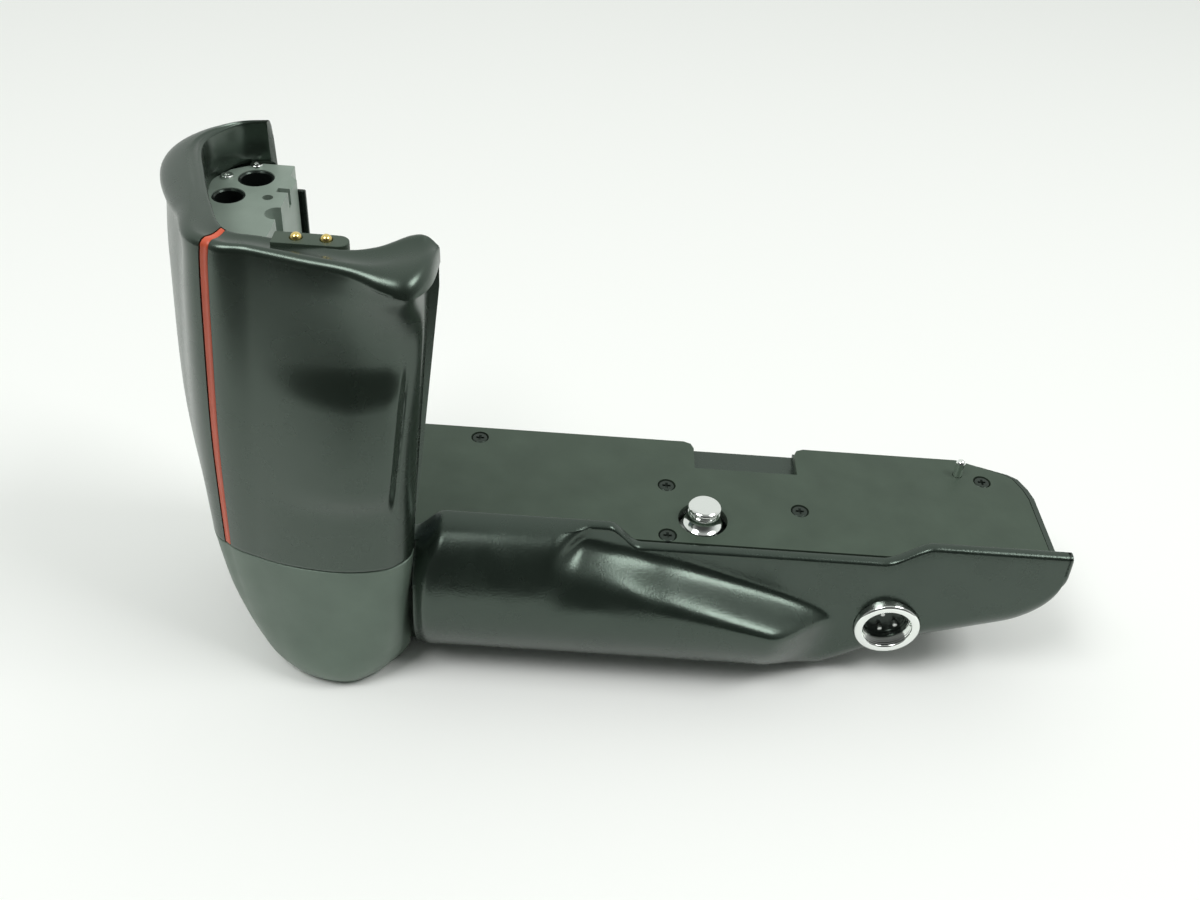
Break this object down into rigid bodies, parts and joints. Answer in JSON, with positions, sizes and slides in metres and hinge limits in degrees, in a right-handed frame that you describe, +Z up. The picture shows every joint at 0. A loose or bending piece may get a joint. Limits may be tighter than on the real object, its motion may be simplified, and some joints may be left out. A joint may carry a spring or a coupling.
{
  "type": "camera battery grip",
  "caption": "L-shaped battery grip that screws under a camera: a slim base with a rounded front swell and an upright hollow hand grip that wraps one end, holding cells.",
  "frame": {"origin": "attaching screw's axis at the camera seat, which is the top face of the seat plate", "axes": "+X along the base away from the hand grip, +Y to the rear, +Z up along the attaching screw"},
  "size_m": [0.1666, 0.0498, 0.0955],
  "materials": {
    "shell_black": "satin, finely textured",
    "grip_black": "soft-touch satin",
    "plate_black": "matte",
    "screw_black": "black oxide",
    "chrome": "polished",
    "steel": "machined",
    "knob_black": "satin",
    "trim_black": "satin gloss",
    "gold": "gold plated",
    "board": "lacquered",
    "cell_skin": "plain wrapped skin",
    "stripe_red": "satin",
    "frame_black": "moulded"
  },
  "bodies": {
    "grip": {"base_body": "shell_black", "top_plate": "plate_black", "bottom_plate": "plate_black", "plate_screws": "screw_black", "bottom_screws": "screw_black", "screw_guide": "screw_black", "locating_pin": "chrome", "tripod_bush": "steel", "terminal_ring": "chrome", "terminal_insulator": "trim_black", "terminal_pins": "steel", "circuit_board": "board", "end_plug": "trim_black", "base_cells": "cell_skin", "base_contacts": "gold", "door_hinge_pin": "steel", "grip_shell": "grip_black", "red_stripe": "stripe_red", "grip_foot": "shell_black", "battery_frame": "frame_black", "frame_screws": "screw_black", "guide_bushes": "steel", "stop_plate": "trim_black", "tower_cells": "cell_skin", "tower_contacts": "gold", "contact_block": "trim_black", "release_bezel": "chrome", "release_switch": "trim_black"},
    "attach": {"attach_screw": "chrome", "screw_clip": "steel", "attach_knob": "knob_black"},
    "door": {"battery_door": "shell_black"},
    "latch": {"door_latch": "knob_black"},
    "button": {"release_button": "trim_black"},
    "collar": {"release_collar": "knob_black"},
    "contact_left": {"contact_pin_left": "gold"},
    "contact_right": {"contact_pin_right": "gold"}
  },
  "joints": [
    {"name": "attach_turn", "type": "hinge", "parent": "grip", "child": "attach", "pos_m": [0, 0, 0], "axis": [0, 0, 1], "continuous": true},
    {"name": "door_swing", "type": "hinge", "parent": "grip", "child": "door", "pos_m": [-0.03175, 0.0223, -0.0232], "axis": [-1, 0, 0], "range_deg": [0, 90]},
    {"name": "latch_slide", "type": "slide", "parent": "door", "child": "latch", "axis": [0, 0, 1], "range_m": [0, 0.002]},
    {"name": "release_press", "type": "slide", "parent": "grip", "child": "button", "axis": [0.8678, 0, 0.497], "range_m": [0, 0.0012], "stiffness_N_per_m": 600, "springref_m": -0.0008},
    {"name": "release_lock", "type": "hinge", "parent": "grip", "child": "collar", "pos_m": [-0.0896, 0.0035, -0.02], "axis": [-0.8678, 0, -0.497], "range_deg": [0, 40]},
    {"name": "contact_press_left", "type": "slide", "parent": "grip", "child": "contact_left", "axis": [0, 0, -1], "range_m": [0, 0.0006], "stiffness_N_per_m": 300, "springref_m": -0.0005},
    {"name": "contact_press_right", "type": "slide", "parent": "grip", "child": "contact_right", "axis": [0, 0, -1], "range_m": [0, 0.0006], "stiffness_N_per_m": 300, "springref_m": -0.0005}
  ]
}
